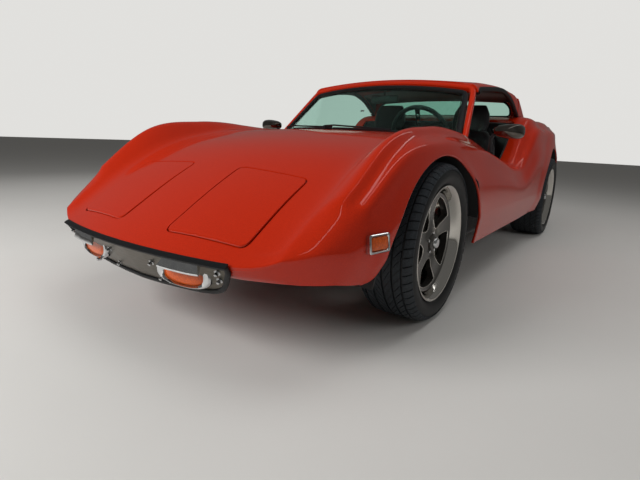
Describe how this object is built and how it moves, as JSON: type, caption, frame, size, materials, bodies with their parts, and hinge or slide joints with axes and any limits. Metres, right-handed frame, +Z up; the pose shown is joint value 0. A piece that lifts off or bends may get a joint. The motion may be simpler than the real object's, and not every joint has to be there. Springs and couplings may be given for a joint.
{
  "type": "kit car",
  "caption": "Two-seat kit car with a low wedge nose, targa roof, open sides, flip-up lamp covers, turning wheels, working steering and a hinged engine lid.",
  "frame": {"origin": "on the ground, midway between the axles, at the middle of the bounding box's bottom", "axes": "+X forwards, +Y to the car's left, +Z up"},
  "size_m": [4.226, 1.814, 1.1018],
  "materials": {
    "paint": "metallic orange-red paint on moulded glass fibre",
    "black_plastic": "satin black",
    "lamp_glass": "clear fluted lens",
    "window_glass": "green tinted glass",
    "black_steel": "black chassis paint",
    "carpet": "black looped carpet",
    "black_vinyl": "black grained vinyl",
    "chrome": "polished",
    "polished_steel": "polished stainless steel",
    "amber_lens": "amber lens",
    "red_lens": "red lens",
    "cast_case": "cast aluminium",
    "exhaust_steel": "heat-dulled steel",
    "alloy": "dark painted alloy with machined edges",
    "tyre": "black rubber"
  },
  "bodies": {
    "root": {"front_body": "paint", "lamp_bays": "black_plastic", "headlamps": "lamp_glass", "side_panels": "paint", "rear_body": "paint", "wheel_houses": "black_plastic", "windscreen_frame": "paint", "windscreen_glass": "window_glass", "roof_panel": "paint", "roof_hoop": "paint", "rear_window": "window_glass", "floor_pan": "black_steel", "cabin_tub": "carpet", "dashboard": "black_vinyl", "steering_column": "black_plastic", "seats": "black_vinyl", "gear_lever": "black_plastic", "interior_mirror": "black_plastic", "door_mirrors": "chrome", "wipers": "black_plastic", "front_plate": "polished_steel", "driving_lamps": "chrome", "side_markers": "amber_lens", "tail_lamps": "red_lens", "plate_bracket": "polished_steel", "front_axle": "black_steel", "transaxle": "cast_case", "engine": "cast_case", "rear_axle": "black_steel", "exhaust": "exhaust_steel"},
    "knuckle_left": {"knuckle_left": "black_steel"},
    "knuckle_right": {"knuckle_right": "black_steel"},
    "steering_wheel": {"steering_wheel": "black_vinyl"},
    "cover_left": {"cover_left": "paint"},
    "cover_right": {"cover_right": "paint"},
    "engine_lid": {"engine_lid": "paint"},
    "wheel_front_left": {"rim_front_left": "alloy", "tyre_front_left": "tyre"},
    "wheel_front_right": {"rim_front_right": "alloy", "tyre_front_right": "tyre"},
    "wheel_rear_left": {"rim_rear_left": "alloy", "tyre_rear_left": "tyre"},
    "wheel_rear_right": {"rim_rear_right": "alloy", "tyre_rear_right": "tyre"}
  },
  "joints": [
    {"name": "steer_left", "type": "hinge", "parent": "root", "child": "knuckle_left", "pos_m": [1.2, 0.59, 0.317], "axis": [0, 0, 1], "range_deg": [-28, 28]},
    {"name": "steer_right", "type": "hinge", "parent": "root", "child": "knuckle_right", "pos_m": [1.2, -0.59, 0.317], "axis": [0, 0, 1], "range_deg": [-28, 28]},
    {"name": "steering_wheel_turn", "type": "hinge", "parent": "root", "child": "steering_wheel", "pos_m": [0.32, 0.265, 0.745], "axis": [-0.9135, 0, 0.4067], "range_deg": [-420, 420]},
    {"name": "cover_left_hinge", "type": "hinge", "parent": "root", "child": "cover_left", "pos_m": [1.672, 0.289, 0.596], "axis": [0, -1, 0], "range_deg": [0, 60]},
    {"name": "cover_right_hinge", "type": "hinge", "parent": "root", "child": "cover_right", "pos_m": [1.672, -0.289, 0.596], "axis": [0, -1, 0], "range_deg": [0, 60]},
    {"name": "engine_lid_hinge", "type": "hinge", "parent": "root", "child": "engine_lid", "pos_m": [-0.708, 0, 0.925], "axis": [0, 1, 0], "range_deg": [0, 45]},
    {"name": "front_left_wheel_spin", "type": "hinge", "parent": "knuckle_left", "child": "wheel_front_left", "pos_m": [1.2, 0.665, 0.317], "axis": [0, 1, 0], "continuous": true},
    {"name": "front_right_wheel_spin", "type": "hinge", "parent": "knuckle_right", "child": "wheel_front_right", "pos_m": [1.2, -0.665, 0.317], "axis": [0, 1, 0], "continuous": true},
    {"name": "rear_left_wheel_spin", "type": "hinge", "parent": "root", "child": "wheel_rear_left", "pos_m": [-1.2, 0.698, 0.317], "axis": [0, 1, 0], "continuous": true},
    {"name": "rear_right_wheel_spin", "type": "hinge", "parent": "root", "child": "wheel_rear_right", "pos_m": [-1.2, -0.698, 0.317], "axis": [0, 1, 0], "continuous": true}
  ],
  "couplings": [
    {"joint": "steer_right", "follows": "steer_left", "ratio": 1},
    {"joint": "steering_wheel_turn", "follows": "steer_left", "ratio": 15}
  ]
}
